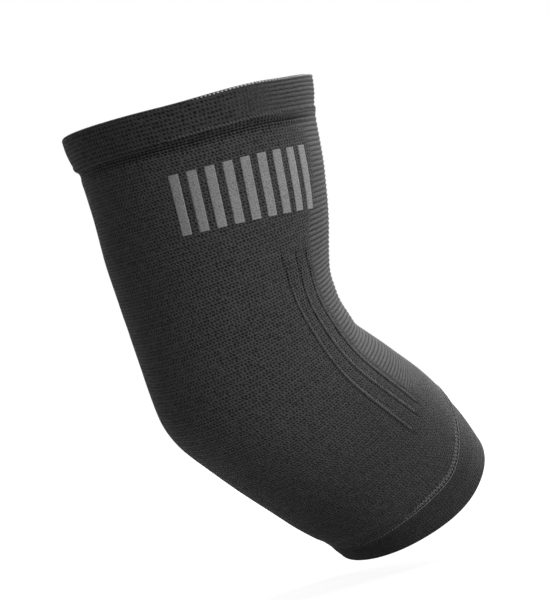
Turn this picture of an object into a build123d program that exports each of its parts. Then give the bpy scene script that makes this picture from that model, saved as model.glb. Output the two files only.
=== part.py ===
"""Knitted elbow support sleeve in the shape it keeps on a bent arm, in millimetres.

The origin is the centre of the upper arm opening. +Z runs up the arm and out of that
opening, +X is the front of the arm (the crook of the elbow) and -Y is its outer side.
Distances down the sleeve are measured along its centre line from the upper opening.
"""

import math
import os

from build123d import *

# Lengths down the centre line
upper_arm_length = 89.0  # upper opening to the start of the elbow's bend
bend_radius = 60.0  # of the centre line round the elbow
forearm_length = 77.0  # end of the elbow's bend to the lower opening
upper_cuff_length = 16.0
lower_hem_length = 15.0
hem_turn_length = 24.0  # stretch over which the knit turns to face the hem

# Angles, degrees
rest_flexion = 50.0  # the bend of the elbow at rest, 0 is a straight arm
full_flexion = 120.0  # the most that the sleeve bends
hem_tilt = 16.0  # the hem faces this much straighter down the arm than the forearm does

# Girths, as outside radii of the knit
upper_seam_radius = 53.2  # at the upper cuff's seam
biceps_radius = 50.0
biceps_distance = 50.0
elbow_radius = 46.6
hem_seam_radius = 42.4

# Cloth, threads and print
knit_thickness = 2.0
cuff_ply_thickness = 1.6
ply_gap = 0.1  # between the two plies of a turned cuff
cuff_step = 0.8  # the upper cuff stands this far out from the knit at the seam
hem_draw_in = 0.4  # the lower hem lies this far in from the knit at the seam
raw_edge_margin = 2.0  # from a turned-in ply's raw edge to the seam
thread_diameter = 0.8
elastic_diameter = 1.0
seat_gap = 0.1  # between a thread or the print and the cloth under it

# Side ribs, three on each side of the arm
rib_width = 2.4
rib_height = 1.2
rib_spacing = 6.8
rib_top_distance = 70.0
rib_bottom_distance = 176.0
rib_top_offset = -5.6  # of the rear rib, forward of the centre line
rib_bottom_offset = 0.5
rib_lean = 7.0  # degrees between the upper stretch of a rib and the upper arm
rib_bend_radius = 45.0
rib_gap = 0.3  # the ribs cross the elbow, so they stand clear of both halves

# Printed bars on the outer side of the upper arm
bar_count = 9
bar_width = 4.4
bar_height = 26.0
bars_distance = 28.0  # upper opening to the top of the bars
bars_rear_angle = 53.0  # degrees behind the outer side of the arm
bars_front_angle = 17.0
ink_thickness = 0.3

# The elbow joint and the stretch of knit that changes shape round it
pivot_forward = 7.0  # of the crossing of the two arm axes
patch_radius = 8.0  # round piece of elbow knit at each side of the joint
zone_gap = 0.3

# Worked out from the values above
bend_length = bend_radius * math.radians(rest_flexion)
bend_end = upper_arm_length + bend_length
sleeve_length = bend_end + forearm_length
hem_seam_distance = sleeve_length - lower_hem_length
hem_turn_start = hem_seam_distance - hem_turn_length
forearm_straight = hem_turn_start - bend_end

upper_cuff_radius = upper_seam_radius + cuff_step
lower_hem_radius = hem_seam_radius - hem_draw_in
half_flexion = math.radians(rest_flexion / 2)
reach = 4 * upper_cuff_radius  # longer than anything that it cuts

# The two arm axes cross behind the bend, and the joint is just in front of the crossing
pivot_x = pivot_forward * math.cos(half_flexion)
pivot_z = pivot_forward * math.sin(half_flexion) - bend_radius * math.tan(half_flexion) - upper_arm_length


def centre_plane(distance):
    """Plane square to the centre line, its normal pointing down the sleeve.

    Its local x is +Y and its local y is towards the front of the arm. The centre line is
    a chain of straight runs and arcs, and an arc's chord leaves along its mean heading.
    """
    runs = (
        (upper_arm_length, 0.0),
        (bend_length, rest_flexion),
        (forearm_straight, 0.0),
        (hem_turn_length, -hem_tilt),
        (lower_hem_length, 0.0),
    )
    x = 0.0
    z = 0.0
    heading = 0.0
    for length, turn in runs:
        step = min(distance, length)
        swing = math.radians(turn) * step / length
        chord = step
        if swing:
            chord = 2 * step / swing * math.sin(swing / 2)
        x += chord * math.sin(heading + swing / 2)
        z -= chord * math.cos(heading + swing / 2)
        heading += swing
        distance -= step
    normal = (math.sin(heading), 0, -math.cos(heading))
    return Plane(origin=(x, 0, z), x_dir=(0, 1, 0), z_dir=normal)


def side_point(plane, forward, depth=0.0):
    """Side view coordinates of a point in front of a plane's origin, at a depth past it."""
    point = plane.from_local_coords(Vector(0, forward, depth))
    return (point.X, point.Z)


def turned_profile(plane, stations, inner_growth, thickness):
    """Side view outline of a layer round a plane's normal, to be turned about it.

    stations are pairs of depth past the plane and the knit's outside radius there.
    """
    inner = [side_point(plane, radius + inner_growth, depth) for depth, radius in stations]
    outer = [side_point(plane, radius + inner_growth + thickness, depth) for depth, radius in stations]
    with BuildSketch(Plane.XZ) as profile:
        with BuildLine():
            Polyline(*inner, *reversed(outer), close=True)
        make_face()
    return profile.sketch


def bent_section(distance, radius, inner_growth, thickness):
    """Ring shaped section of a layer, on the plane where an arc of the sleeve starts."""
    with BuildSketch(centre_plane(distance)) as section:
        Circle(radius + inner_growth + thickness)
        Circle(radius + inner_growth, mode=Mode.SUBTRACT)
    return section.sketch


def arc_axis(distance, centre_forward, direction):
    """Axis across the arm that an arc of the sleeve turns about."""
    x, z = side_point(centre_plane(distance), centre_forward)
    return Axis((x, 0, z), (0, direction, 0))


def sleeve_layer(inner_growth, thickness):
    """A layer of even thickness that follows the knit's outside surface.

    It is two tapered tubes, the upper arm and the forearm, and two bent ones, the elbow
    and the turn above the hem.
    """
    upper_stations = (
        (upper_cuff_length, upper_seam_radius),
        (biceps_distance, biceps_radius),
        (upper_arm_length, elbow_radius),
    )
    forearm_stations = ((0, elbow_radius), (forearm_straight, hem_seam_radius))
    forearm_start = centre_plane(bend_end)
    hem_turn_radius = hem_turn_length / math.radians(hem_tilt)
    with BuildPart() as layer:
        add(turned_profile(centre_plane(0), upper_stations, inner_growth, thickness))
        revolve(axis=Axis.Z)
        add(bent_section(upper_arm_length, elbow_radius, inner_growth, thickness))
        revolve(axis=arc_axis(upper_arm_length, bend_radius, -1), revolution_arc=rest_flexion)
        add(turned_profile(forearm_start, forearm_stations, inner_growth, thickness))
        revolve(axis=Axis(forearm_start.origin, forearm_start.z_dir))
        add(bent_section(hem_turn_start, hem_seam_radius, inner_growth, thickness))
        revolve(axis=arc_axis(hem_turn_start, -hem_turn_radius, 1), revolution_arc=hem_tilt)
    return layer.part


def ray_end(angle):
    """Point far from the elbow joint in the side view, by its angle up from +X."""
    turn = math.radians(angle)
    return (pivot_x + reach * math.cos(turn), pivot_z + reach * math.sin(turn))


def elbow_zone(growth):
    """What lies between the two stiff halves of the sleeve, seen from the side.

    A wedge in the crook of the elbow closes as the arm bends fully, and a wedge at the
    point of the elbow closes as it straightens. Round patches join them at the joint.
    """
    crook_middle = rest_flexion / 2
    wedges = (
        (crook_middle, full_flexion - rest_flexion),
        (crook_middle + 180, rest_flexion),
    )
    with BuildPart() as zone:
        with BuildSketch(Plane.XZ):
            for middle, opening in wedges:
                with BuildLine():
                    Polyline(
                        (pivot_x, pivot_z),
                        ray_end(middle - opening / 2),
                        ray_end(middle),
                        ray_end(middle + opening / 2),
                        close=True,
                    )
                make_face()
            with Locations((pivot_x, pivot_z)):
                Circle(patch_radius)
            if growth:
                offset(amount=growth)
        extrude(amount=reach, both=True)
    return zone.part


def tube_layer(plane, outer_radius, thickness, start, end):
    """A round layer about a plane's normal, between two depths past the plane."""
    with BuildPart() as tube:
        with BuildSketch(plane.offset(start)):
            Circle(outer_radius)
            Circle(outer_radius - thickness, mode=Mode.SUBTRACT)
        extrude(amount=end - start)
    return tube.part


def thread_ring(plane, radius, diameter, depth):
    """A ring of thread about a plane's normal, its middle at a depth past the plane."""
    with BuildPart(plane.offset(depth)) as ring:
        Torus(radius, diameter / 2)
    return ring.part


def rib_path(number):
    """Top, corner and bottom of a rib in the side view, counted from the rear one.

    The upper stretch leans forwards from the upper arm, the lower stretch is in line
    with the forearm, and the corner is where the two lines cross.
    """
    shift = number * rib_spacing
    top_x, top_z = side_point(centre_plane(rib_top_distance), rib_top_offset + shift)
    bottom = side_point(centre_plane(rib_bottom_distance), rib_bottom_offset + shift)
    lean = math.radians(rib_lean)
    forearm = math.radians(rest_flexion)
    across_x = bottom[0] - top_x
    across_z = bottom[1] - top_z
    upper_run = across_x * math.cos(forearm) + across_z * math.sin(forearm)
    upper_run /= math.sin(lean - forearm)
    corner = (top_x + upper_run * math.sin(lean), top_z - upper_run * math.cos(lean))
    return [(top_x, top_z), corner, bottom]


def write_piece(part, name):
    part.label = name
    export_step(part, f"parts/{name}.step")


os.makedirs("parts", exist_ok=True)
upper_mouth = centre_plane(0)
mouth_frame = centre_plane(sleeve_length)
lower_mouth = Plane(origin=mouth_frame.origin, x_dir=(0, 1, 0), z_dir=-mouth_frame.z_dir)

# Knit of the elbow, the stretch that changes shape as the arm bends
with BuildPart() as elbow_knit:
    add(sleeve_layer(-knit_thickness, knit_thickness))
    add(elbow_zone(0), mode=Mode.INTERSECT)
write_piece(elbow_knit.part, "elbow_knit")

# Knit of the upper arm and of the forearm, on either side of it
with BuildPart() as stiff_knit:
    add(sleeve_layer(-knit_thickness, knit_thickness))
    add(elbow_zone(zone_gap), mode=Mode.SUBTRACT)
stiff_halves = stiff_knit.part.solids().sort_by(Axis.Z)

with BuildPart() as upper_arm_knit:
    add(stiff_halves[-1])
write_piece(upper_arm_knit.part, "upper_arm_knit")

with BuildPart() as forearm_knit:
    add(stiff_halves[0])
write_piece(forearm_knit.part, "forearm_knit")

# Upper cuff: the knit's turned edge, its outer ply round the ply that is turned in
with BuildPart() as upper_cuff_outer:
    add(tube_layer(upper_mouth, upper_cuff_radius, cuff_ply_thickness, elastic_diameter, upper_cuff_length))
write_piece(upper_cuff_outer.part, "upper_cuff_outer")

upper_lining_radius = upper_cuff_radius - cuff_ply_thickness - ply_gap
upper_lining_end = upper_cuff_length - raw_edge_margin
with BuildPart() as upper_cuff_lining:
    add(tube_layer(upper_mouth, upper_lining_radius, cuff_ply_thickness, 0, upper_lining_end))
write_piece(upper_cuff_lining.part, "upper_cuff_lining")

# The elastic edge thread lies on the outer ply's edge, round the lining
elastic_ring_radius = upper_lining_radius + elastic_diameter / 2 + seat_gap
with BuildPart() as upper_cuff_elastic:
    add(thread_ring(upper_mouth, elastic_ring_radius, elastic_diameter, elastic_diameter / 2))
write_piece(upper_cuff_elastic.part, "upper_cuff_elastic")

# The seam that holds the cuff down shows a needle thread outside and a looper thread
# inside, which covers the turned-in ply's raw edge
needle_offset = thread_diameter / 2 + seat_gap
upper_seam_depth = upper_lining_end + needle_offset
with BuildPart() as upper_needle_thread:
    add(thread_ring(upper_mouth, upper_cuff_radius + needle_offset, thread_diameter, upper_seam_depth))
write_piece(upper_needle_thread.part, "upper_needle_thread")

upper_looper_radius = upper_lining_radius - thread_diameter / 2
with BuildPart() as upper_looper_thread:
    add(thread_ring(upper_mouth, upper_looper_radius, thread_diameter, upper_seam_depth))
write_piece(upper_looper_thread.part, "upper_looper_thread")

# Lower hem: made in the same way, with no elastic at its edge
with BuildPart() as lower_hem_outer:
    add(tube_layer(lower_mouth, lower_hem_radius, cuff_ply_thickness, 0, lower_hem_length))
write_piece(lower_hem_outer.part, "lower_hem_outer")

lower_lining_radius = lower_hem_radius - cuff_ply_thickness - ply_gap
lower_lining_end = lower_hem_length - raw_edge_margin
with BuildPart() as lower_hem_lining:
    add(tube_layer(lower_mouth, lower_lining_radius, cuff_ply_thickness, 0, lower_lining_end))
write_piece(lower_hem_lining.part, "lower_hem_lining")

lower_seam_depth = lower_lining_end + needle_offset
with BuildPart() as lower_needle_thread:
    add(thread_ring(lower_mouth, lower_hem_radius + needle_offset, thread_diameter, lower_seam_depth))
write_piece(lower_needle_thread.part, "lower_needle_thread")

lower_looper_radius = lower_lining_radius - thread_diameter / 2
with BuildPart() as lower_looper_thread:
    add(thread_ring(lower_mouth, lower_looper_radius, thread_diameter, lower_seam_depth))
write_piece(lower_looper_thread.part, "lower_looper_thread")

# Side ribs, cut from a layer that lies on the knit
rib_layer = sleeve_layer(rib_gap, rib_height)
for side, direction in (("outer", 1), ("inner", -1)):
    for number, place in enumerate(("back", "middle", "front")):
        with BuildPart() as rib:
            with BuildSketch(Plane.XZ):
                with BuildLine():
                    rib_line = FilletPolyline(*rib_path(number), radius=rib_bend_radius)
                trace(rib_line, line_width=rib_width)
            extrude(amount=direction * reach)
            add(rib_layer, mode=Mode.INTERSECT)
        write_piece(rib.part, f"{side}_rib_{place}")

# Printed bars, evenly spaced round the outer side, cut from a film that lies on the knit
bar_step = (bars_rear_angle + bars_front_angle) / (bar_count - 1)
with BuildPart() as printed_bars:
    with BuildSketch(Plane.XY.offset(-bars_distance)):
        for number in range(bar_count):
            with Locations(Rotation(0, 0, 270 - bars_rear_angle + number * bar_step)):
                with Locations((reach / 2, 0)):
                    Rectangle(reach, bar_width)
    extrude(amount=-bar_height)
    add(sleeve_layer(seat_gap, ink_thickness), mode=Mode.INTERSECT)
write_piece(printed_bars.part, "printed_bars")
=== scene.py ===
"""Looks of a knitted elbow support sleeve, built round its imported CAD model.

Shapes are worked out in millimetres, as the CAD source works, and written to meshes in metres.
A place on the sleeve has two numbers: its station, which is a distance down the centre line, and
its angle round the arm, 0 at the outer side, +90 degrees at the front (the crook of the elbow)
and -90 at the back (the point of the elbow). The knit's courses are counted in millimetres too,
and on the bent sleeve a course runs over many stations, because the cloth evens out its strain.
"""

import bpy
import numpy as np
from mathutils import Matrix, Vector


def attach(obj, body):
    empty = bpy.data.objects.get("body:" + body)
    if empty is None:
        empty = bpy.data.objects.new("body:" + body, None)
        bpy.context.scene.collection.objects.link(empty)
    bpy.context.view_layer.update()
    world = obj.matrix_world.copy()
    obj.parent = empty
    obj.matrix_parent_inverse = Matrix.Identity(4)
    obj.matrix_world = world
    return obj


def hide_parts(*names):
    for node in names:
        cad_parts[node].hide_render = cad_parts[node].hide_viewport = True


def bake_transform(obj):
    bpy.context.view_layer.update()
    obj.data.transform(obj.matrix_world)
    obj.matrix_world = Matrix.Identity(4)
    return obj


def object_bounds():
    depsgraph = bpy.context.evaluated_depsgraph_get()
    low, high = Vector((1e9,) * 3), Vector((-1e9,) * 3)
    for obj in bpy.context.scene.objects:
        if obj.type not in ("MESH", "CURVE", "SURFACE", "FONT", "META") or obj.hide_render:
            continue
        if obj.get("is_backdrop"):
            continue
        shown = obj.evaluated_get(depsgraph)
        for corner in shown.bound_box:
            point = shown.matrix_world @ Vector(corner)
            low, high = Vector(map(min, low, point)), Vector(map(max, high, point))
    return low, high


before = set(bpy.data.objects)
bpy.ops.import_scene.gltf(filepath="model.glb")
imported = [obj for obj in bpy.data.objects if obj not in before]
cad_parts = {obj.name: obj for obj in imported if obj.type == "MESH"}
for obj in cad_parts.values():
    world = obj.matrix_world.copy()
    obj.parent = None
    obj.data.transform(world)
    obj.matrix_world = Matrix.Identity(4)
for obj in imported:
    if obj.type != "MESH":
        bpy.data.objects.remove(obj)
cad_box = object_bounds()

MM = 0.001
TURN = 2 * np.pi

# Lengths down the sleeve, as the CAD source has them
CUFF_SEAM = 14.6  # 1.4 mm above the CAD's, as the seam draws the cloth up
BEND_START = 89.0
BEND_END = 141.36
HEM_TURN_START = 179.36
HEM_SEAM = 203.36
SLEEVE_END = 218.36
REST_FLEXION = 50.0
HEM_HEADING = 34.0

# How the cloth lies
WALL = 2.0  # thickness of the knit
PLY = 1.6  # thickness of one ply of a cuff
PLY_PITCH = 1.7  # from the middle of a cuff's outer ply to the middle of its inner ply
HEM_INSET = 1.2  # middle of the hem's outer ply, in from the knit's outer face

RIB_TOP = 69.0
RIB_BOTTOM = 177.0
RIB_STATIONS = (60, 69, 90, 105, 120, 140, 176, 190)
RIB_ANGLES = (
    (-8, -7, -3, 1.5, 2.5, 2, 0, 0),
    (1, 2, 6, 10, 11.5, 12, 11, 11),
    (8, 9, 15, 19, 20.5, 21, 18, 18),
)

# Degrees round the arm at which the front panel begins
PANEL_STATIONS = (0, 14, 22, 35, 50, 62, 75, 90, 105, 120, 140, 176, 203)
PANEL_EDGE = (-34, -30, 19, 22, 18, 11, 11.5, 16, 20.5, 22, 22.5, 19, 5)

# Degrees over which the cloth changes to the panel's: many on the cuffs, few on the sleeve
PANEL_WIDTH_STATIONS = (0, 14, 24, 60, 165, 190, 203)
PANEL_EDGE_WIDTH = (48, 46, 7, 4, 4, 40, 60)

WALES = 188  # stitches round the sleeve
COURSE = 1.2  # mm from one course to the next
CUFF_COURSE = 1.8
HEM_COURSE = 1.2
RIDGE_PITCH = 2.2  # mm of courses from one cross ridge of the front panel to the next

random = np.random.default_rng(20)


# ---------------------------------------------------------------- the sleeve's surface


def ease(x, low, high):
    """0 up to low, 1 from high on, and 3t^2 - 2t^3 between, where t is the share of the way."""
    t = np.clip((x - low) / (high - low), 0, 1)
    return t * t * (3 - 2 * t)


def rounded(x, stations, values, reach):
    """Straight lines between the stations, averaged over reach either side of x."""
    shifts = np.linspace(-reach, reach, 9)
    return np.mean([np.interp(x + shift, stations, values) for shift in shifts], axis=0)


def bell(x, middle, reach):
    """Bell curve: e to the minus square of the distance from the middle, counted in reaches."""
    return np.exp(-(((x - middle) / reach) ** 2))


def side_angle(angle):
    """Degrees from the nearer side of the arm towards the front: arcsin of the angle's sine."""
    return np.degrees(np.arcsin(np.sin(angle)))


TABLE_STEP = 0.25
table_distance = np.arange(-12, 232, TABLE_STEP)
table_heading = np.radians(
    rounded(
        table_distance,
        (-20, BEND_START, BEND_END, HEM_TURN_START, HEM_SEAM, 240),
        (0, 0, REST_FLEXION, REST_FLEXION, HEM_HEADING, HEM_HEADING),
        10,
    )
)


def running_sum(rate, start):
    """Sum of the rate over the table's steps, set to 0 at the distance start."""
    total = np.concatenate([[0], np.cumsum(TABLE_STEP * (rate[1:] + rate[:-1]) / 2)])
    return total - np.interp(start, table_distance, total)


table_x = running_sum(np.sin(table_heading), 0)
table_z = -running_sum(np.cos(table_heading), 0)
table_radius = rounded(
    table_distance,
    (-12, 0, 16, 50, 89, 115, 141, 180, 205, 218.2, 230),
    (54.8, 54.8, 52.8, 50.3, 45.0, 45.1, 44.7, 44.2, 42.4, 41.3, 40.5),
    5,
)
# How far the worn sleeve stands off its round profile, as stations and mm: in front a hollow
# above the crook, behind a swelling above the elbow and a hem that is drawn in
FRONT_FORM = (
    (16, 0), (35, 0.5), (60, -0.5), (70, -1.5), (80, -2.2), (90, -0.5), (108, 0.2), (122, 0.4),
    (140, -0.2), (160, 0.5), (184, 0.7), (203, 0),
)
BACK_FORM = (
    (16, 0), (22, -0.4), (48, 0), (60, 0.8), (80, 1.6), (90, 1.4), (100, 0), (108, -0.4),
    (115, 0.5), (122, 0.5), (130, -0.2), (172, -0.1), (190, -0.6), (198, -1.8), (206, -2.5),
    (218, -2.8),
)

# Station of each course at 41 values of the angle's sine, from the back to the front. A line down
# the sleeve grows shorter in front and longer behind where it bends, by the radius times the turn,
# and its courses share that out evenly between the cuff and the hem.
EVEN_FROM = 20.0
SINES = np.linspace(-1, 1, 41)
COURSE_STEP = 0.5
even_course = np.arange(EVEN_FROM, HEM_SEAM + COURSE_STEP, COURSE_STEP)
turn_rate = np.gradient(table_heading, TABLE_STEP)


def even_stations(sine):
    """Stations of the evenly spread courses along the line at one sine."""
    length = running_sum(np.maximum(1 - table_radius * sine * turn_rate, 0.3), EVEN_FROM)
    share = length / np.interp(HEM_SEAM, table_distance, length)
    return np.interp(even_course, EVEN_FROM + share * (HEM_SEAM - EVEN_FROM), table_distance)


station_table = np.stack([even_stations(sine) for sine in SINES])


def station_of(course, angle):
    """Station of a course, straight between the table's entries, and the course itself on the cuffs."""
    u = np.clip((course - EVEN_FROM) / COURSE_STEP, 0, len(even_course) - 1.001)
    v = np.clip((np.sin(angle) + 1) / (SINES[1] - SINES[0]), 0, len(SINES) - 1.001)
    u, v = np.broadcast_arrays(u, v)
    i, j = u.astype(int), v.astype(int)
    first = station_table[j, i] * (1 - u + i) + station_table[j, i + 1] * (u - i)
    second = station_table[j + 1, i] * (1 - u + i) + station_table[j + 1, i + 1] * (u - i)
    inside = (course > EVEN_FROM) & (course < HEM_SEAM)
    return np.where(inside, first + (second - first) * (v - j), course)


# How the ends of the worn sleeve ride up the arm, in mm
CUFF_RISE_BEHIND = 2.3  # from the back to the side
CUFF_RISE_AHEAD = 1.1  # more, from the side to the front
CUFF_RISE_END = 70.0
HEM_SEAM_RISE = 0.86
HEM_SEAM_CLIMB = 12.0  # more, from the back to the front
HEM_RISE_START = 150.0
LOWER_RIM_RISE = 0.3
LOWER_RIM_SCOOP = 2.1
LOWER_RIM_TURN = np.radians(8)


def lie(course, angle):
    """Distance down the centre line at which a station lies.

    The upper cuff rides up from the back to the side and on to the front, and this fades out
    down the sleeve. The hem's seam climbs towards the front, and the lower rim is scooped by a
    cosine of twice the angle.
    """
    side = side_angle(angle)
    rise = CUFF_RISE_BEHIND * ease(side, -52, 0) + CUFF_RISE_AHEAD * ease(side, 5, 45)
    seam = HEM_SEAM_RISE + HEM_SEAM_CLIMB * ease(side, -10, 50)
    rim = LOWER_RIM_RISE + LOWER_RIM_SCOOP * (1 - np.cos(2 * (angle + LOWER_RIM_TURN)))
    share = np.clip((course - HEM_SEAM) / (SLEEVE_END - HEM_SEAM), 0, 1.2)
    hem = (seam * (1 - share) + rim * share) * ease(course, HEM_RISE_START, HEM_SEAM)
    return course - rise * (1 - ease(course, 0, CUFF_RISE_END)) - hem


# The point of the elbow, and the flare of the upper cuff, in mm and degrees
ELBOW_POINT = 113.5
ELBOW_POINT_REACH = 15.3
ELBOW_POINT_HEIGHT = 4.3
FLARE_ANGLE = -125
FLARE_SPREAD = 55
FLARE_LENGTH = 18.0
FLARE_HEIGHT = 1.4
FORM_REACH = 3
FORM_SINE = 0.75  # sine of the angle from which the front and back forms are whole


def skin(course, angle, out=0.0):
    """Point of the sleeve's outer face, or out mm off it, as an array of x, y, z in mm.

    It is the centre line's point, plus the radius along the direction at that angle. The radius
    is the round profile's, plus a bell shaped point of the elbow behind, the forms in front and
    behind, and a flare of the upper cuff between the back and the inner side.
    """
    s = lie(course, angle)
    heading = np.interp(s, table_distance, table_heading)
    radius = np.interp(s, table_distance, table_radius)
    behind = np.maximum(0, -np.sin(angle)) ** 1.5
    radius = radius + ELBOW_POINT_HEIGHT * bell(s, ELBOW_POINT, ELBOW_POINT_REACH) * behind
    radius = radius + rounded(s, *zip(*FRONT_FORM), FORM_REACH) * ease(np.sin(angle), 0, FORM_SINE)
    radius = radius + rounded(s, *zip(*BACK_FORM), FORM_REACH) * ease(-np.sin(angle), 0, FORM_SINE)
    turned = np.degrees(np.angle(np.exp(1j * (angle - np.radians(FLARE_ANGLE)))))
    flare = bell(turned, 0, FLARE_SPREAD) * (1 - ease(s, 0, FLARE_LENGTH))
    radius = radius + FLARE_HEIGHT * flare + out
    forward = radius * np.sin(angle)
    x = np.interp(s, table_distance, table_x) + forward * np.cos(heading)
    z = np.interp(s, table_distance, table_z) + forward * np.sin(heading)
    return np.stack(np.broadcast_arrays(x, -radius * np.cos(angle), z), -1)


def frame_at(course, angle, out):
    """Point, direction round the sleeve, direction down it and outward normal, by differences."""
    point = skin(course, angle, out)
    around = skin(course, angle + 0.002, out) - skin(course, angle - 0.002, out)
    down = skin(course + 0.1, angle, out) - skin(course - 0.1, angle, out)
    around /= np.linalg.norm(around, axis=-1, keepdims=True)
    down -= around * np.sum(down * around, -1, keepdims=True)
    down /= np.linalg.norm(down, axis=-1, keepdims=True)
    return point, around, down, np.cross(around, down) * -1


def rib_angle(number, course):
    """Degrees round the arm of a rib's middle at a course."""
    return rounded(course, RIB_STATIONS, RIB_ANGLES[number], 6)


def panel_share(course, angle):
    """1 on the plain front panel, 0 on the bird's-eye cloth, eased over some degrees between."""
    edge = rounded(course, PANEL_STATIONS, PANEL_EDGE, 3)
    width = np.interp(course, PANEL_WIDTH_STATIONS, PANEL_EDGE_WIDTH)
    return ease(side_angle(angle), edge, edge + width)


MM_PER_DEGREE = 0.81  # round the sleeve
CREASE_BELOW_SEAM = 2.2


def furrow_share(course, angle):
    """Depth, 0 to about 1.3, of the furrows along the ribs and of the crease under the cuff.

    A furrow is a bell across the rib, deep behind it and shallow in front, and shows from one
    end of the rib to the other. The crease is a bell down the sleeve. The same depth also darkens
    the colour as painted shade: the shadow on each rib's back side and the shade in the crease.
    """
    run = ease(course, RIB_TOP - 2, RIB_TOP + 5)
    run = run * (1 - ease(course, RIB_BOTTOM - 6, RIB_BOTTOM + 2))
    depth = 0 * (course + angle)
    for number in range(len(RIB_ANGLES)):
        off = (side_angle(angle) - rib_angle(number, course)) * MM_PER_DEGREE
        depth = depth + 1.3 * bell(off, -1.0, 0.55) + 0.15 * bell(off, 1.1, 0.5)
    crease = seam_share(angle) * bell(course, CUFF_SEAM + CREASE_BELOW_SEAM, 2.0)
    return run * depth + 1.25 * crease


def seam_share(angle):
    """How far the upper cuff stands over the knit at its seam: whole behind, flush in front."""
    return 1 - ease(side_angle(angle), 5, 48)


waves = random.uniform(0, 1, (7, 3))


def unevenness(course, angle):
    """A sum of seven sine waves in course and angle, each with whole turns round the sleeve."""
    total = 0 * (course + angle)
    for along, turns, start in waves:
        length = 28 + 45 * along
        total = total + np.sin(TURN * (course / length + start) + np.round(1 + 5 * turns) * angle)
    return total / len(waves)


# Heights of the cloth's relief in mm
KNIT_UNEVENNESS = 0.3
CUFF_UNEVENNESS = 0.25
FURROW_DEPTH = 0.45
RIDGE_HEIGHT = 0.18
SCALLOP_HEIGHT = 0.08


def relief(course, angle):
    """Height in mm of the cloth over the smooth sleeve: its unevenness, less the furrows."""
    return KNIT_UNEVENNESS * unevenness(course, angle) - FURROW_DEPTH * furrow_share(course, angle)


def cross_ridges(course, station, angle):
    """Height in mm of the front panel's ridges, a cosine of the course that dies out at the hem."""
    ridges = RIDGE_HEIGHT * panel_share(station, angle) * np.cos(TURN * course / RIDGE_PITCH)
    return ridges * (1 - 0.7 * ease(course, 176, 196))


# ---------------------------------------------------------------- meshes


def mesh_piece(name, points, faces, material, corners, layers=None):
    """A smooth mesh piece at the origin, from points in mm and four-sided faces.

    The corners are the stitch map, wales or turns and courses at each corner of each face. The
    layers are values at each point, by name.
    """
    mesh = bpy.data.meshes.new(name)
    mesh.vertices.add(len(points))
    mesh.vertices.foreach_set("co", (np.asarray(points) * MM).astype(np.float32).ravel())
    mesh.loops.add(faces.size)
    mesh.loops.foreach_set("vertex_index", faces.astype(np.int32).ravel())
    mesh.polygons.add(len(faces))
    mesh.polygons.foreach_set("loop_start", np.arange(0, faces.size, 4, dtype=np.int32))
    mesh.polygons.foreach_set("use_smooth", np.ones(len(faces), bool))
    mesh.update(calc_edges=True)
    mesh.uv_layers.new(name="stitch").data.foreach_set("uv", corners.astype(np.float32).ravel())
    for layer, values in (layers or {}).items():
        attribute = mesh.attributes.new(layer, "FLOAT", "POINT")
        attribute.data.foreach_set("value", np.asarray(values, np.float32).ravel())
    mesh.validate()
    mesh.materials.append(material)
    piece = bpy.data.objects.new(name, mesh)
    bpy.context.scene.collection.objects.link(piece)
    return piece


def grid_faces(rows, columns, close_rows):
    """Corner indices of a grid's faces, and each corner's row and column before it wraps round.

    Columns always close, rows close on request.
    """
    last = rows if close_rows else rows - 1
    i, j = np.meshgrid(np.arange(last), np.arange(columns), indexing="ij")
    below, beside = i + 1, j + 1
    steps = np.array([(i, j), (i, beside), (below, beside), (below, j)])
    index = (steps[:, 0] % rows) * columns + steps[:, 1] % columns
    faces = np.moveaxis(index, 0, -1).reshape(-1, 4)
    return faces, np.moveaxis(steps, (0, 1), (2, 3)).reshape(-1, 4, 2)


STRETCH_STATIONS = (115, 175)  # painted shade on the cloth's back half, growing between these


def cloth_loop(name, course, out, angles, material, pitch, fine, panel=1.0):
    """A closed loop of courses and heights, carried round the sleeve at the given angles.

    The pitch is one course in mm, fine adds to the heights from course, station and angle, and
    panel is how plain the front panel is.
    """
    s, a = np.meshgrid(course, angles, indexing="ij")
    station = station_of(s, a)
    height = np.broadcast_to(np.asarray(out)[:, None], s.shape) + fine(s, station, a)
    faces, steps = grid_faces(len(course), len(angles), True)
    turns = np.append(angles, angles[0] + TURN) / TURN * WALES
    rows = np.append(course, course[0]) / pitch
    corners = np.stack([turns[steps[..., 1]], rows[steps[..., 0]]], -1)
    # The furrow layer is painted shade too: it darkens the colour beside the ribs and in the crease
    layers = {"panel": panel * panel_share(station, a), "furrow": furrow_share(station, a)}
    # Painted shade on the back half from the elbow down, a share up to 0.45
    layers["stretch"] = 0.45 * (1 - panel_share(station, a)) * ease(station, *STRETCH_STATIONS)
    return mesh_piece(name, skin(station, a, height).reshape(-1, 3), faces, material, corners, layers)


def tube(name, path, across, outward, width, height, material, closed, twist=2.2, sides=8):
    """A thread or rib: at each point of the path an ellipse of half width along across and half
    height along outward.

    Its own map counts twists of so many mm along it, in a whole number. An open one is closed at
    both ends by flat faces.
    """
    turn = np.arange(sides) / sides * TURN
    width = np.broadcast_to(width, len(path))[:, None, None]
    height = np.broadcast_to(height, len(path))[:, None, None]
    ring = across[:, None] * np.cos(turn)[None, :, None] * width
    ring = ring + outward[:, None] * np.sin(turn)[None, :, None] * height
    points = (path[:, None] + ring).reshape(-1, 3)
    faces, steps = grid_faces(len(path), sides, closed)
    lengths = np.linalg.norm(np.diff(np.vstack([path, path[:1]]), axis=0), axis=1)
    along = np.concatenate([[0], np.cumsum(lengths)])
    along = along * (np.round(along[-1] / twist) / along[-1])
    corners = np.stack([along[steps[..., 0]], steps[..., 1] / sides], -1)
    if not closed:
        fan = np.array([[0, k, k + 1, k + 2] for k in range(1, sides - 2, 2)])
        ends = np.vstack([fan[:, ::-1], fan + (len(path) - 1) * sides])
        faces = np.vstack([faces, ends])
        corners = np.vstack([corners, np.zeros((len(ends), 4, 2))])
    return mesh_piece(name, points, faces, material, corners)


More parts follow.
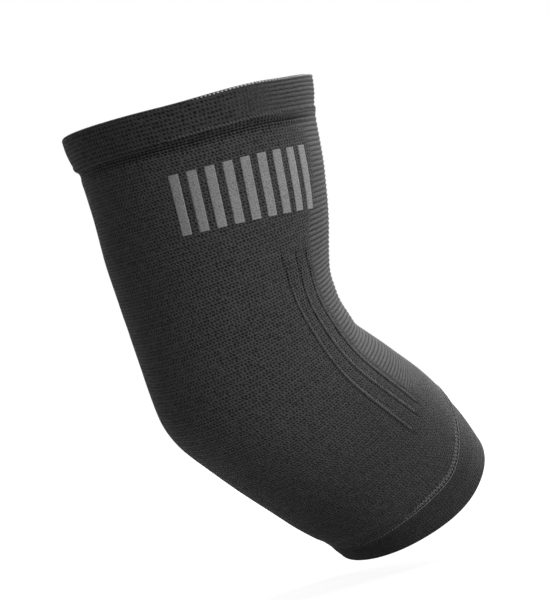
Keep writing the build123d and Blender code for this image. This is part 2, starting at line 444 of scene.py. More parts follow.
def ring_thread(name, course, angle, out, radius, material):
    """A closed thread along courses and angles of the sleeve, its middle out mm off it."""
    path, _, _, outward = frame_at(course, angle, out)
    ahead = np.roll(path, -1, 0) - np.roll(path, 1, 0)
    ahead /= np.linalg.norm(ahead, axis=1, keepdims=True)
    across = np.cross(ahead, outward)
    across /= np.linalg.norm(across, axis=1, keepdims=True)
    return tube(name, path, across, np.cross(across, ahead), radius, radius, material, True)


def stitches(name, course, angle, out, slant, length, radius, material):
    """Separate slanted stitches: a spindle of seven rings at each place.

    Its width is the root of 1 - t^2 along its length, where t runs from -1 to 1, and its ends sink
    into the cloth by t^2.
    """
    point, around, down, outward = frame_at(course, angle, out)
    ahead = around * np.cos(slant) + down * np.sin(slant)
    across = np.cross(outward, ahead)
    t = np.array([-1, -0.85, -0.45, 0.0, 0.45, 0.85, 1])
    size = radius * np.sqrt(1.03 - t**2)
    sides = 8
    turn = np.arange(sides) / sides * TURN
    middle = point[:, None] + ahead[:, None] * (t * length / 2)[:, None]
    middle = middle - outward[:, None] * (radius * t**2)[:, None]
    ring = across[:, None] * np.cos(turn)[:, None] + outward[:, None] * np.sin(turn)[:, None]
    points = (middle[:, :, None] + ring[:, None] * size[:, None, None]).reshape(-1, 3)
    faces, steps = grid_faces(len(t), sides, False)
    fan = np.array([[0, k, k + 1, k + 2] for k in range(1, sides - 2, 2)])
    one = np.vstack([faces, fan[:, ::-1], fan + (len(t) - 1) * sides])
    along = np.stack([t[steps[..., 0]], steps[..., 1] / sides], -1)
    one_corners = np.vstack([along, np.zeros((2 * len(fan), 4, 2))])
    every = (one + (np.arange(len(point)) * len(t) * sides)[:, None, None]).reshape(-1, 4)
    corners = np.broadcast_to(one_corners, (len(point), *one_corners.shape)).reshape(-1, 4, 2)
    return mesh_piece(name, points, every, material, corners)


def ply_loop(course, out, thickness):
    """Outline of a ply of even thickness about a line of courses and heights, round at its ends.

    Each side is the line moved half a thickness along its normal, and each end a half circle.
    """
    ahead = np.stack([np.gradient(course), np.gradient(out)], -1)
    ahead /= np.linalg.norm(ahead, axis=1, keepdims=True)
    normal = np.stack([ahead[:, 1], -ahead[:, 0]], -1) * thickness / 2
    line = np.stack([course, out], -1)
    turn = np.linspace(0, np.pi, 7)[1:-1, None]
    far = line[-1] - normal[-1] * np.cos(turn) + ahead[-1] * np.sin(turn) * thickness / 2
    near = line[0] + normal[0] * np.cos(turn) - ahead[0] * np.sin(turn) * thickness / 2
    outline = np.vstack([line - normal, far, (line + normal)[::-1], near])
    return outline[:, 0], outline[:, 1]


# ---------------------------------------------------------------- materials


class Graph:
    """Shader nodes of a material or a group, made by short calls."""

    def __init__(self, tree):
        self.tree = tree

    def node(self, kind, **settings):
        made = self.tree.nodes.new(kind)
        for key, value in settings.items():
            setattr(made, key, value)
        return made

    def put(self, socket, value):
        if isinstance(value, bpy.types.NodeSocket):
            self.tree.links.new(value, socket)
        else:
            socket.default_value = value

    def math(self, operation, *values, clamp=False):
        made = self.node("ShaderNodeMath", operation=operation, use_clamp=clamp)
        for socket, value in zip(made.inputs, values):
            self.put(socket, value)
        return made.outputs[0]

    def step(self, value, low, high, to_low=0.0, to_high=1.0):
        """Eased change from to_low to to_high as the value goes from low to high."""
        made = self.node("ShaderNodeMapRange", interpolation_type="SMOOTHSTEP")
        for socket, item in zip(made.inputs, (value, low, high, to_low, to_high)):
            self.put(socket, item)
        return made.outputs[0]

    def noise(self, scale, detail, roughness=0.5):
        """Noise in the piece's own metres, with scale in cycles to a metre."""
        made = self.node("ShaderNodeTexNoise")
        self.put(made.inputs["Vector"], self.node("ShaderNodeTexCoord").outputs["Object"])
        for socket, value in (("Scale", scale), ("Detail", detail), ("Roughness", roughness)):
            made.inputs[socket].default_value = value
        return made.outputs["Fac"]

    def blend(self, share, first, second):
        made = self.node("ShaderNodeMix", data_type="RGBA")
        self.put(made.inputs[0], share)
        self.put(made.inputs[6], first)
        self.put(made.inputs[7], second)
        return made.outputs[2]

    def wave(self, value):
        """Cosine of so many turns."""
        return self.math("COSINE", self.math("MULTIPLY", value, TURN))


def new_group(name, inputs, outputs):
    """An empty shader group with the named sockets, and the graph to fill it."""
    tree = bpy.data.node_groups.new(name, "ShaderNodeTree")
    for label, kind, value in inputs:
        socket = tree.interface.new_socket(label, in_out="INPUT", socket_type=f"NodeSocket{kind}")
        if value is not None:
            socket.default_value = value
    for label, kind in outputs:
        tree.interface.new_socket(label, in_out="OUTPUT", socket_type=f"NodeSocket{kind}")
    graph = Graph(tree)
    return graph, graph.node("NodeGroupInput").outputs, graph.node("NodeGroupOutput").inputs


def knit_group():
    """Bird's-eye knit. A pit is where cosines of the wale count, of the course count and of their
    slanted sums add up high. Noises make each pit differ."""
    graph, given, made = new_group(
        "knit cloth",
        (
            ("Stitch", "Vector", None),
            ("Panel", "Float", 0.0),
            ("Furrow", "Float", 0.0),
            ("Stretch", "Float", 0.0),
            ("Ridges", "Float", 1.0),
            ("Pits", "Float", 1.0),
            ("Stagger", "Float", 1.0),
            ("Light", "Color", (0.06, 0.06, 0.06, 1)),
            ("Panel Light", "Color", (0.09, 0.09, 0.09, 1)),
            ("Dark", "Color", (0.01, 0.01, 0.01, 1)),
        ),
        (("Color", "Color"), ("Roughness", "Float"), ("Height", "Float")),
    )
    place = graph.node("ShaderNodeSeparateXYZ")
    graph.put(place.inputs[0], given["Stitch"])

    # The wale and the course stray from their rows by up to a third of a stitch
    stray = graph.math("SUBTRACT", graph.noise(420, 2), 0.5)
    wale = graph.math("MULTIPLY_ADD", stray, 0.6, place.outputs[0])
    course = graph.math("MULTIPLY_ADD", stray, 0.3, place.outputs[1])

    # The pattern starts from a noise and from each stitch's own random share
    own = graph.node("ShaderNodeCombineXYZ")
    for k in (0, 1):
        graph.put(own.inputs[k], graph.math("ROUND", place.outputs[k]))
    stitch = graph.node("ShaderNodeTexWhiteNoise", noise_dimensions="2D")
    graph.put(stitch.inputs["Vector"], own.outputs[0])
    own_share = graph.math("SUBTRACT", stitch.outputs["Value"], 0.5)
    pattern = graph.math("MULTIPLY", graph.math("SUBTRACT", graph.noise(1100, 2), 0.5), 2.4)
    pattern = graph.math("MULTIPLY_ADD", own_share, 0.7, pattern)

    # Weight of each wave, and its turns to a wale and to a course. The staggered ones repeat after
    # two courses and run a quarter turn ahead, so pits lean left and right by turns.
    for weight, wales, courses, staggered in (
        (0.56, 0, 1, False),
        (0.36, 1, 0, False),
        (0.3, 1, -1, False),
        (0.42, 1, -0.5, True),
        (0.2, 1, 0.5, True),
        (0.2, 0, 0.5, True),
    ):
        turns = graph.math("MULTIPLY", course, float(courses))
        turns = graph.math("MULTIPLY_ADD", wale, float(wales), turns)
        size = weight
        if staggered:
            turns = graph.math("ADD", turns, 0.25)
            size = graph.math("MULTIPLY", given["Stagger"], weight)
        pattern = graph.math("MULTIPLY_ADD", graph.wave(turns), size, pattern)
    pit = graph.step(pattern, -0.7, 1.3)
    plain = graph.math("SUBTRACT", 1.0, given["Panel"])
    amount = graph.math("MULTIPLY", graph.math("MULTIPLY_ADD", plain, 0.95, 0.05), given["Pits"])
    # Pits are shallower under the painted shade of the back half below the elbow
    shallower = graph.math("MULTIPLY_ADD", given["Stretch"], -0.4, 1.0)
    amount = graph.math("MULTIPLY", amount, shallower)
    pit = graph.math("MULTIPLY", pit, amount)

    # Painted shade in the gaps between the panel's ridges; the two legs of each stitch, fibres,
    # clouds and uneven rows
    ridge = graph.math("MULTIPLY_ADD", stray, 0.5, place.outputs[1])
    ridge = graph.wave(graph.math("MULTIPLY", ridge, given["Ridges"]))
    # Painted shade in the gaps between the front panel's ridges
    between = graph.math("MULTIPLY", graph.step(ridge, 0.35, -0.85), given["Panel"])
    leg = graph.math("PINGPONG", wale, 0.5)
    legs = graph.wave(graph.math("MULTIPLY_ADD", course, 2.0, graph.math("MULTIPLY", leg, 2.0)))
    fibre = graph.noise(1700, 4, 0.75)
    cloud = graph.noise(38, 2)
    row = graph.node("ShaderNodeTexNoise", noise_dimensions="1D")
    graph.put(row.inputs["W"], graph.math("MULTIPLY", place.outputs[1], 0.9))
    row = graph.math("SUBTRACT", row.outputs["Fac"], 0.5)
    # Painted shade along the furrows, dotted by the stitches
    dots = graph.math("MULTIPLY_ADD", graph.wave(course), 0.35, 0.6)
    dots = graph.math("MULTIPLY_ADD", graph.wave(wale), 0.25, dots)
    dotted = graph.math("MULTIPLY", given["Furrow"], dots)

    # Tone of the yarn, 0 dark to 1 light: pits take it away, and painted shade in the gaps between
    # ridges, in the furrows and crease, and on the back half below the elbow takes it away too
    tone = graph.math("MULTIPLY_ADD", pit, -0.8, 0.94)
    tone = graph.math("MULTIPLY_ADD", between, -0.68, tone)
    tone = graph.math("MULTIPLY_ADD", dotted, -0.85, tone)
    tone = graph.math("MULTIPLY_ADD", legs, 0.06, tone)
    tone = graph.math("MULTIPLY_ADD", row, 0.4, tone)
    tone = graph.math("MULTIPLY", tone, graph.math("MULTIPLY_ADD", fibre, 4.4, -1.2))
    # Painted shade: up to about a third darker on the back half from the elbow down
    tone = graph.math("MULTIPLY", tone, graph.math("MULTIPLY_ADD", given["Stretch"], -0.7, 1.0))
    tone = graph.math("MULTIPLY", tone, graph.math("MULTIPLY_ADD", cloud, 0.22, 0.89), clamp=True)
    # The front panel's yarn is lighter, and the lightening is partly painted light from the key lamp on
    # the front
    light = graph.blend(given["Panel"], given["Light"], given["Panel Light"])
    graph.put(made["Color"], graph.blend(tone, given["Dark"], light))
    rough = graph.math("MULTIPLY_ADD", fibre, 0.16, 0.72)
    graph.put(made["Roughness"], graph.math("MULTIPLY_ADD", pit, 0.12, rough))
    height = graph.math("MULTIPLY_ADD", pit, -1.0, 1.0)
    height = graph.math("MULTIPLY_ADD", legs, 0.12, height)
    graph.put(made["Height"], graph.math("MULTIPLY_ADD", fibre, 0.25, height))
    return graph.tree


def thread_group():
    """Twisted thread: light and dark plies are a cosine of its turns along and round the thread."""
    graph, given, made = new_group(
        "twisted thread",
        (
            ("Along", "Vector", None),
            ("Light", "Color", (0.2, 0.2, 0.2, 1)),
            ("Dark", "Color", (0.1, 0.1, 0.1, 1)),
        ),
        (("Color", "Color"), ("Roughness", "Float"), ("Height", "Float")),
    )
    place = graph.node("ShaderNodeSeparateXYZ")
    graph.put(place.inputs[0], given["Along"])
    ply = graph.wave(graph.math("ADD", place.outputs[0], graph.math("MULTIPLY", place.outputs[1], 2.0)))
    fibre = graph.noise(3200, 2, 0.6)
    tone = graph.math("MULTIPLY_ADD", fibre, 0.5, 0.3)
    tone = graph.math("MULTIPLY_ADD", ply, 0.3, tone, clamp=True)
    graph.put(made["Color"], graph.blend(tone, given["Dark"], given["Light"]))
    graph.put(made["Roughness"], graph.math("MULTIPLY_ADD", fibre, 0.25, 0.5))
    graph.put(made["Height"], graph.math("MULTIPLY_ADD", ply, 0.5, graph.math("MULTIPLY", fibre, 0.4)))
    return graph.tree


KNIT = knit_group()
THREAD = thread_group()


def finish_material(name, group, values, sheen, bump, stitch_input, cloth=False):
    """A cloth or thread material: the group's colour, roughness and height on one shader.

    The bump is in mm, and stitch_input is the group's socket that takes the piece's own map.
    """
    material = bpy.data.materials.new(name)
    material.use_nodes = True
    graph = Graph(material.node_tree)
    shader = material.node_tree.nodes["Principled BSDF"]
    made = graph.node("ShaderNodeGroup")
    made.node_tree = group
    graph.put(made.inputs[stitch_input], graph.node("ShaderNodeUVMap", uv_map="stitch").outputs[0])
    # A cloth reads its panel share and its painted shades, of the furrows and the forearm, from its
    # points
    if cloth:
        for label in ("Panel", "Furrow", "Stretch"):
            read = graph.node("ShaderNodeAttribute", attribute_name=label.lower())
            graph.put(made.inputs[label], read.outputs["Fac"])
    for label, value in values.items():
        made.inputs[label].default_value = value
    relief_node = graph.node("ShaderNodeBump")
    relief_node.inputs["Strength"].default_value = 1.0
    relief_node.inputs["Distance"].default_value = bump * MM
    graph.put(relief_node.inputs["Height"], made.outputs["Height"])
    graph.put(shader.inputs["Normal"], relief_node.outputs[0])
    graph.put(shader.inputs["Base Color"], made.outputs["Color"])
    graph.put(shader.inputs["Roughness"], made.outputs["Roughness"])
    weight, rough, tint = sheen
    shader.inputs["Sheen Weight"].default_value = weight
    shader.inputs["Sheen Roughness"].default_value = rough
    shader.inputs["Sheen Tint"].default_value = (tint, tint, tint, 1)
    shader.inputs["Specular IOR Level"].default_value = 0.1
    return material


def grey(level, blue=1.0):
    """A linear grey, made warm by a lower blue."""
    return (level, level, level * blue, 1)


# Sheens: weight, roughness and tint
CLOTH_SHEEN = (0.12, 0.5, 0.7)
INK_SHEEN = (0.1, 0.5, 0.6)
THREAD_SHEEN = (0.2, 0.4, 0.6)
ELASTIC_SHEEN = (0.1, 0.4, 0.8)
THREAD_BUMP = 0.08

# Each Panel Light is lighter than its Light, partly as painted light from the key lamp on the front
knit_cloth = finish_material(
    "charcoal_birds_eye_knit",
    KNIT,
    {
        "Light": grey(0.093),
        "Panel Light": grey(0.139),
        "Dark": grey(0.005),
        "Pits": 1.0,
        "Ridges": COURSE / RIDGE_PITCH,
    },
    sheen=CLOTH_SHEEN,
    bump=0.35,
    stitch_input="Stitch",
    cloth=True,
)
cuff_cloth = finish_material(
    "charcoal_cuff_knit",
    KNIT,
    {
        "Light": grey(0.067),
        "Panel Light": grey(0.105),
        "Dark": grey(0.005),
        "Pits": 1.05,
        "Stagger": 0.25,
    },
    sheen=CLOTH_SHEEN,
    bump=0.3,
    stitch_input="Stitch",
    cloth=True,
)
hem_cloth = finish_material(
    "charcoal_hem_knit",
    KNIT,
    {"Light": grey(0.064), "Panel Light": grey(0.165), "Dark": grey(0.006), "Pits": 0.9},
    sheen=CLOTH_SHEEN,
    bump=0.25,
    stitch_input="Stitch",
    cloth=True,
)
# The ribs' light tone, well above the cloth's, is painted highlight along each raised rib
rib_cloth = finish_material(
    "charcoal_rib_knit",
    KNIT,
    {"Light": grey(0.15), "Dark": grey(0.012), "Pits": 0.9},
    sheen=CLOTH_SHEEN,
    bump=0.3,
    stitch_input="Stitch",
)
print_ink = finish_material(
    "grey_print_on_knit",
    KNIT,
    {"Light": grey(0.37), "Dark": grey(0.1), "Pits": 0.3},
    sheen=INK_SHEEN,
    bump=0.3,
    stitch_input="Stitch",
)
dark_thread = finish_material(
    "dark_sewing_thread",
    THREAD,
    {"Light": grey(0.17), "Dark": grey(0.06)},
    sheen=THREAD_SHEEN,
    bump=THREAD_BUMP,
    stitch_input="Along",
)
grey_thread = finish_material(
    "grey_sewing_thread",
    THREAD,
    {"Light": grey(0.26), "Dark": grey(0.1)},
    sheen=THREAD_SHEEN,
    bump=THREAD_BUMP,
    stitch_input="Along",
)
elastic_thread = finish_material(
    "pale_elastic_thread",
    THREAD,
    {"Light": grey(0.75, 0.96), "Dark": grey(0.35, 0.98)},
    sheen=ELASTIC_SHEEN,
    bump=THREAD_BUMP,
    stitch_input="Along",
)


# ---------------------------------------------------------------- pieces

# Angles round the sleeve: close together across the ribs of both sides, wider elsewhere
COLUMNS = 192
EVEN_COLUMNS = 160
RIB_CROWDING = 4.2
density_angle = np.radians(np.linspace(-90, 270, 3601))
near_ribs = ease(side_angle(density_angle), -13, -10) * (1 - ease(side_angle(density_angle), 25, 28))
density = np.concatenate([[0], np.cumsum(1 + RIB_CROWDING * near_ribs[:-1])])
cloth_angles = np.interp(np.arange(COLUMNS) / COLUMNS * density[-1], density, density_angle)
even_angles = np.linspace(0, TURN, EVEN_COLUMNS, endpoint=False) - np.pi / 2

# Knit tube, from under the upper cuff to the hem's seam, both faces of its wall
TUBE_TOP = CUFF_SEAM - 0.8
ROWS_PER_RIDGE = 5
INNER_ROWS = 64
TUCK_UNDER_CUFF = 0.9
TUCK_UNDER_HEM = 0.35
RISE_TO_CUFF = 0.6


def under_cuff(station, angle):
    """The knit's rise in mm towards the cuff in front, where the seam is flush."""
    flush = 1 - seam_share(angle)
    return RISE_TO_CUFF * flush * (1 - ease(station, TUBE_TOP, CUFF_SEAM + 1))


def knit_relief(course, station, angle):
    """Everything that stands out of the tube's outer face, and nothing on its inner face."""
    height = relief(station, angle) + cross_ridges(course, station, angle)
    return outer_wall * (height + under_cuff(station, angle))


outer_rows = int(ROWS_PER_RIDGE * (HEM_SEAM - TUBE_TOP) / RIDGE_PITCH)
outer_course = np.linspace(TUBE_TOP, HEM_SEAM, outer_rows)
inner_course = np.linspace(HEM_SEAM, TUBE_TOP, INNER_ROWS)
outer_out = -TUCK_UNDER_CUFF * (1 - ease(outer_course, TUBE_TOP, CUFF_SEAM + 1))
outer_out = outer_out - TUCK_UNDER_HEM * ease(outer_course, HEM_SEAM - 0.76, HEM_SEAM)
tube_course = np.concatenate([outer_course, inner_course])
tube_out = np.concatenate([outer_out, np.full(INNER_ROWS, -WALL)])
outer_wall = np.concatenate([np.ones(outer_rows), np.zeros(INNER_ROWS)])[:, None]
sleeve_knit = cloth_loop(
    "sleeve_knit", tube_course, tube_out, cloth_angles, knit_cloth, COURSE, knit_relief
)


def folded_ply(seam, rim, lining_end, middle, pinch):
    """Courses and heights of a cuff's cloth: up its outer face, over the rim, down inside.

    The outer ply bows out by the square of a sine between rim and seam, with a bell shaped welt
    beside the seam, and dips by pinch at its edge. The fold is a half circle between the plies.
    """
    way = np.sign(seam - rim)
    fold = PLY_PITCH / 2
    outer = np.linspace(seam, rim + way * fold, 44)
    share = (outer - outer[-1]) / (outer[0] - outer[-1])
    raised = 0.3 * np.sin(np.pi * share) ** 2 + 0.3 * bell(share, 0.9, 0.05)
    turn = np.linspace(0, np.pi, 10)[1:-1]
    inner = np.linspace(rim + way * fold, lining_end, 30)
    course = np.concatenate([outer, rim + way * fold * (1 - np.sin(turn)), inner])
    out = np.concatenate([
        middle + raised - pinch * ease(share, 0.94, 1.0),
        middle - fold + fold * np.cos(turn),
        np.full(len(inner), middle - PLY_PITCH),
    ])
    return course, out


# Upper cuff: one folded cloth
CUFF_LINING_END = 12.6
CUFF_PINCH = 0.6
CUFF_DRAWN_IN = 0.95


def drawn_in(course, angle):
    """Depth in mm by which the cuff's lower part lies closer to the arm at the front."""
    return CUFF_DRAWN_IN * (1 - seam_share(angle)) * ease(course, 0, CUFF_SEAM - 2)


def cuff_relief(course, station, angle):
    """A cross ridge on the cuff's front at each course, the cloth's unevenness, and the cuff's
    lower edge drawn in but not pinched there."""
    ridges = RIDGE_HEIGHT * panel_share(station, angle) * np.cos(TURN * course / CUFF_COURSE)
    level = CUFF_PINCH * (1 - seam_share(angle)) * ease(station, CUFF_SEAM - 0.9, CUFF_SEAM)
    uneven = CUFF_UNEVENNESS * unevenness(station, angle)
    return ridges + uneven - drawn_in(station, angle) + level


line = folded_ply(CUFF_SEAM, 0.0, CUFF_LINING_END, 0.0, CUFF_PINCH)
loop = ply_loop(*line, PLY)
upper_cuff = cloth_loop(
    "upper_cuff_knit", *loop, even_angles, cuff_cloth, CUFF_COURSE, cuff_relief
)

# Lower hem: another folded cloth, its rim scalloped by the wales
HEM_PINCH = 0.3
HEM_PANEL = 0.6  # how plain the hem's front is, beside the sleeve's panel
POINTS_PER_WALE = 3


def hem_relief(course, station, angle):
    """The hem's unevenness, and a cosine of the wale count that scallops its rim."""
    scallops = np.cos(WALES * angle) * ease(station, HEM_SEAM + 2, HEM_SEAM + 6)
    return CUFF_UNEVENNESS * unevenness(station, angle) + SCALLOP_HEIGHT * scallops


line = folded_ply(HEM_SEAM + 0.2, SLEEVE_END, HEM_SEAM + 2, -HEM_INSET, HEM_PINCH)
loop = ply_loop(*line, PLY)
hem_angles = np.linspace(0, TURN, POINTS_PER_WALE * WALES, endpoint=False) - np.pi / 2
lower_hem = cloth_loop(
    "lower_hem_knit", *loop, hem_angles, hem_cloth, HEM_COURSE, hem_relief, panel=HEM_PANEL
)

# Threads of the two seams
TOPSTITCH_COUNT = 214
TOPSTITCH_ABOVE_SEAM = 1.3
TOPSTITCH_SLANT = np.radians(42)
TOPSTITCH_LENGTH = 2.1
TOPSTITCH_RADIUS = 0.34
INSIDE_RADIUS = 0.3
CUFF_INSIDE_OUT = -2.62
CUFF_INSIDE_STITCHES = 112
HEM_INSIDE_OUT = -3.85
HEM_INSIDE_STITCHES = 92
HEM_STITCHES = 158
HEM_ZIGZAG = 202.2
HEM_ZIGZAG_RADIUS = 0.22
HEM_LINE_RADIUS = 0.2
POINTS_PER_STITCH = 8

angle = np.arange(TOPSTITCH_COUNT) / TOPSTITCH_COUNT * TURN
course = CUFF_SEAM - TOPSTITCH_ABOVE_SEAM + 0.12 * random.standard_normal(TOPSTITCH_COUNT)
sunk_behind = 0.3 * (1 - ease(side_angle(angle), -80, -30))
upper_topstitch = stitches(
    "upper_cuff_topstitch", course, angle, 1.0 - drawn_in(course, angle) - sunk_behind,
    TOPSTITCH_SLANT, TOPSTITCH_LENGTH, TOPSTITCH_RADIUS, dark_thread,
)


def zigzag(turns, middle, swing):
    """Angles once round, and courses that swing either side of middle, so many times round.

    Each swing is a sine to the power 0.7, and its size is up to a fifth more or less.
    """
    count = turns * POINTS_PER_STITCH
    angle = np.arange(count) / count * TURN
    wave = np.sin(angle * turns)
    size = np.repeat(random.uniform(0.8, 1.2, 2 * turns), POINTS_PER_STITCH // 2)
    return middle + swing * size * np.sign(wave) * np.abs(wave) ** 0.7, angle


course, angle = zigzag(CUFF_INSIDE_STITCHES, CUFF_SEAM - 2.2, 1.3)
upper_inside = ring_thread(
    "upper_cuff_inside_stitch", course, angle, CUFF_INSIDE_OUT, INSIDE_RADIUS, dark_thread
)
course, angle = zigzag(HEM_STITCHES, HEM_ZIGZAG, 0.95)
lower_topstitch = ring_thread(
    "lower_hem_topstitch", course, angle, -0.6 + 0.7 * ease(side_angle(angle), -70, 5),
    HEM_ZIGZAG_RADIUS, grey_thread,
)
angle = np.arange(HEM_STITCHES * POINTS_PER_STITCH) / (HEM_STITCHES * POINTS_PER_STITCH) * TURN
course = np.full(len(angle), HEM_SEAM + 0.7)
line_out = -0.5 + 0.5 * ease(side_angle(angle), -70, 5) + 0.12 * np.cos(HEM_STITCHES * angle)
lower_line = ring_thread(
    "lower_hem_line_stitch", course, angle, line_out, HEM_LINE_RADIUS, grey_thread
)
course, angle = zigzag(HEM_INSIDE_STITCHES, HEM_SEAM + 1.8, 1.2)
lower_inside = ring_thread(
    "lower_hem_inside_stitch", course, angle, HEM_INSIDE_OUT, INSIDE_RADIUS, grey_thread
)

# Elastic: the pale thread shows where the rim faces the front, and sinks into the cloth behind
ELASTIC_BEADS = 190
ELASTIC_POINTS = 1280
angle = np.arange(ELASTIC_POINTS) / ELASTIC_POINTS * TURN
shown = ease(side_angle(angle), -52, -18)
course = -0.1 + 0.1 * np.sin(7 * angle)
beads = np.cos(ELASTIC_BEADS * angle)
elastic = ring_thread(
    "upper_rim_elastic", course, angle, -0.45 + 0.8 * shown + 0.25 * beads,
    0.26 + 0.12 * beads, elastic_thread,
)

# Ribs: flat rolls of knit that stand out of the cloth and taper at both ends
RIB_POINTS = 380
ribs = []
for side in ("outer", "inner"):
    for number, label in enumerate(("back", "middle", "front")):
        course = np.linspace(RIB_TOP, RIB_BOTTOM, RIB_POINTS)
        angle = np.radians(rib_angle(number, course))
        if side == "inner":
            angle = np.pi - angle
        taper = ease(course, RIB_TOP - 6, RIB_TOP + 40)
        taper = taper * (1 - ease(course, RIB_BOTTOM - 8, RIB_BOTTOM))
        sunk = -0.45 + 0.3 * unevenness(course, angle) + 0.15 * taper
        path, around, _, outward = frame_at(course, angle, sunk)
        beads = 1 + 0.5 * np.cos(TURN * course / COURSE)
        width = 0.25 + 0.3 * taper * beads
        height = 0.2 + 0.42 * taper * beads
        name = f"{side}_side_rib_{label}"
        rib = tube(
            name, path, around, outward, width, height, rib_cloth, False, twist=COURSE, sides=12
        )
        ribs.append((rib, f"{side}_rib_{label}"))

# Printed bars: a thin film on the knit, a closed strip for each bar
BAR_COUNT = 9
BAR_WIDTH = 4.4
BAR_TOP = 28.0
BAR_HEIGHT = 26.0
BAR_REAR = -53.0
BAR_FRONT = 17.0
FILM = 0.12
FILM_SUNK = 0.02
FILM_RADIUS = 50.5  # of the sleeve at the print
ACROSS_POINTS = 10
DOWN_POINTS = 66
across = np.linspace(-1, 1, ACROSS_POINTS)
edge_fall = -0.1 * across**6
loop_across = np.concatenate([across, across[::-1]])
loop_out = np.concatenate([0.06 + FILM + edge_fall, np.full(ACROSS_POINTS, FILM_SUNK)])
bar_course = np.linspace(BAR_TOP, BAR_TOP + BAR_HEIGHT, DOWN_POINTS)
strip, steps = grid_faces(DOWN_POINTS, 2 * ACROSS_POINTS, False)
last = 2 * ACROSS_POINTS - 1
caps = np.array([[k, last - k, last - 1 - k, k + 1] for k in range(ACROSS_POINTS - 1)])
ends = np.vstack([caps, caps[:, ::-1] + (DOWN_POINTS - 1) * 2 * ACROSS_POINTS])
points, faces, corners = [], [], []
for middle in np.radians(np.linspace(BAR_REAR, BAR_FRONT, BAR_COUNT)):
    s, w = np.meshgrid(bar_course, loop_across * BAR_WIDTH / 2, indexing="ij")
    a = middle + w / FILM_RADIUS
    height = loop_out + relief(s, a)
    turns = np.append(a[0], a[0, 0])[steps[..., 1]] / TURN * WALES
    uv = np.stack([turns, bar_course[steps[..., 0]] / COURSE], -1)
    faces.append(np.vstack([strip, ends]) + len(points) * s.size)
    points.append(skin(s, a, height).reshape(-1, 3))
    corners.append(np.vstack([uv, np.zeros((len(ends), 4, 2))]))
print_bars = mesh_piece(
    "print_bars", np.vstack(points), np.vstack(faces), print_ink, np.vstack(corners)
)


# ---------------------------------------------------------------- bodies and nodes

# The knit and the ribs are baked where they lie and go with no body; the upper cuff's pieces
# go with the upper arm, and the hem's with the forearm
for piece in [sleeve_knit] + [rib for rib, _ in ribs]:
    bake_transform(piece)
for piece in (upper_cuff, upper_topstitch, upper_inside, elastic, print_bars):
    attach(piece, "upper_arm")
for piece in (lower_hem, lower_topstitch, lower_line, lower_inside):
    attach(piece, "forearm")

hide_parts("elbow_knit", "upper_arm_knit", "forearm_knit")
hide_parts("upper_cuff_outer", "upper_cuff_lining")
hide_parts("upper_needle_thread")
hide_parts("upper_looper_thread")
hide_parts("upper_cuff_elastic")
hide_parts("lower_hem_outer", "lower_hem_lining")
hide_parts("lower_needle_thread")
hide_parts("lower_looper_thread")
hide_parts("printed_bars")
for rib, node in ribs:
    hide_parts(node)


# ---------------------------------------------------------------- floor, light and camera

visual_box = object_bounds()


def stage_plane(name, size, height, material):
    """A level square about the upper end of the centre line."""
    mesh = bpy.data.meshes.new(name)
    square = [(x * size / 2, y * size / 2, height) for x, y in ((-1, -1), (1, -1), (1, 1), (-1, 1))]
    mesh.from_pydata(square, [], [(0, 1, 2, 3)])
    mesh.materials.append(material)
    plane = bpy.data.objects.new(name, mesh)
    bpy.context.scene.collection.objects.link(plane)
    plane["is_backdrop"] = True


def shown_rays(graph):
    """1 for rays from the camera and for reflected and transmitted ones."""
    rays = graph.node("ShaderNodeLightPath").outputs
    glossy = graph.math("MAXIMUM", rays["Is Glossy Ray"], rays["Is Transmission Ray"])
    return graph.math("MAXIMUM", rays["Is Camera Ray"], glossy)


# The floor's glow is two thirds near the sleeve, where its shadow shows, and whole farther off
floor_material = bpy.data.materials.new("pale_floor")
floor_material.use_nodes = True
graph = Graph(floor_material.node_tree)
floor_shader = floor_material.node_tree.nodes["Principled BSDF"]
floor_shader.inputs["Base Color"].default_value = (0.45, 0.45, 0.45, 1)
floor_shader.inputs["Roughness"].default_value = 0.9
glow = graph.node("ShaderNodeEmission")
glow.inputs["Color"].default_value = (1, 1, 1, 1)
glow.inputs["Strength"].default_value = 1.33
mixed = graph.node("ShaderNodeMixShader")
place = graph.node("ShaderNodeSeparateXYZ")
graph.put(place.inputs[0], graph.node("ShaderNodeTexCoord").outputs["Object"])
squares = [graph.math("MULTIPLY", place.outputs[k], place.outputs[k]) for k in (0, 1)]
distance = graph.math("SQRT", graph.math("ADD", *squares))
glow_share = graph.step(distance, 0.25, 0.6, 0.67, 1.0)
graph.put(mixed.inputs[0], graph.math("MULTIPLY", shown_rays(graph), glow_share))
graph.put(mixed.inputs[1], floor_shader.outputs[0])
graph.put(mixed.inputs[2], glow.outputs[0])
graph.put(floor_material.node_tree.nodes["Material Output"].inputs[0], mixed.outputs[0])
FLOOR_SIZE = 6.0
FLOOR_GAP = 0.0005
stage_plane("floor", FLOOR_SIZE, min(visual_box[0].z, cad_box[0].z) - FLOOR_GAP, floor_material)

world = bpy.data.worlds.new("studio")
bpy.context.scene.world = world
world.use_nodes = True
graph = Graph(world.node_tree)
ambient = world.node_tree.nodes["Background"]
ambient.inputs["Color"].default_value = (1, 1, 1, 1)
ambient.inputs["Strength"].default_value = 0.02
white = graph.node("ShaderNodeBackground")
white.inputs["Color"].default_value = (1, 1, 1, 1)
white.inputs["Strength"].default_value = 1.0
chosen = graph.node("ShaderNodeMixShader")
graph.put(chosen.inputs[0], shown_rays(graph))
graph.put(chosen.inputs[1], ambient.outputs[0])
graph.put(chosen.inputs[2], white.outputs[0])
graph.put(world.node_tree.nodes["World Output"].inputs[0], chosen.outputs[0])

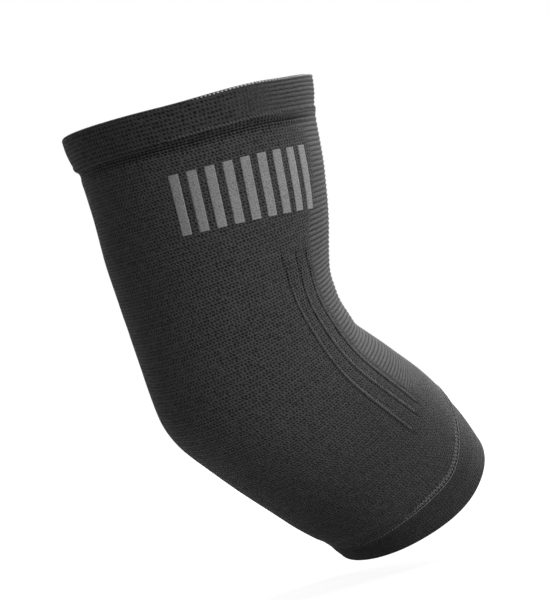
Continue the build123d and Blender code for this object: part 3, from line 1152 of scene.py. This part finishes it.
# Camera axes: it stands behind the outer side of the arm, level, and leans a little
CAMERA_AZIMUTH = np.radians(-39.47)
CAMERA_RISE = np.radians(-1.11)
CAMERA_ROLL = np.radians(-12.87)
CAMERA_DISTANCE = 1.5
FIELD = 0.264  # height of the view at the aim
AIM = Vector((0.035, 0, -0.100))
AIM_LEFT = 0.01156  # how far the view's middle lies from the aim
AIM_UP = 0.01049
SENSOR = 36.0
back = Vector((
    np.sin(CAMERA_AZIMUTH) * np.cos(CAMERA_RISE),
    -np.cos(CAMERA_AZIMUTH) * np.cos(CAMERA_RISE),
    np.sin(CAMERA_RISE),
))
level = Vector((np.cos(CAMERA_AZIMUTH), np.sin(CAMERA_AZIMUTH), 0))
upright = back.cross(level)
right = level * np.cos(CAMERA_ROLL) + upright * np.sin(CAMERA_ROLL)
up = upright * np.cos(CAMERA_ROLL) - level * np.sin(CAMERA_ROLL)
camera_data = bpy.data.cameras.new("camera")
camera_data.sensor_width = SENSOR
camera_data.lens = SENSOR * CAMERA_DISTANCE / FIELD
camera = bpy.data.objects.new("camera", camera_data)
bpy.context.scene.collection.objects.link(camera)
middle = AIM - right * AIM_LEFT + up * AIM_UP
axes = Matrix((right, up, back)).transposed().to_4x4()
camera.matrix_world = Matrix.Translation(middle + back * CAMERA_DISTANCE) @ axes
bpy.context.scene.camera = camera


def softbox(name, direction, distance, size, power):
    """A square area lamp that faces the middle of the sleeve."""
    lamp = bpy.data.lights.new(name, "AREA")
    lamp.size = size
    lamp.energy = power
    holder = bpy.data.objects.new(name, lamp)
    bpy.context.scene.collection.objects.link(holder)
    towards = Vector(direction).normalized()
    holder.location = AIM + towards * distance
    holder.rotation_mode = "QUATERNION"
    holder.rotation_quaternion = (-towards).to_track_quat("-Z", "Y")


softbox("key", direction=(0.81, 0.15, 0.9), distance=1.1, size=0.8, power=17.5)
softbox("fill", direction=(0.0, -0.8, 0.35), distance=1.6, size=1.0, power=14)
softbox("rear", direction=(0.5, 0.8, 0.3), distance=1.6, size=1.0, power=8)

bpy.context.scene.view_settings.view_transform = "Standard"

visual_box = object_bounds()
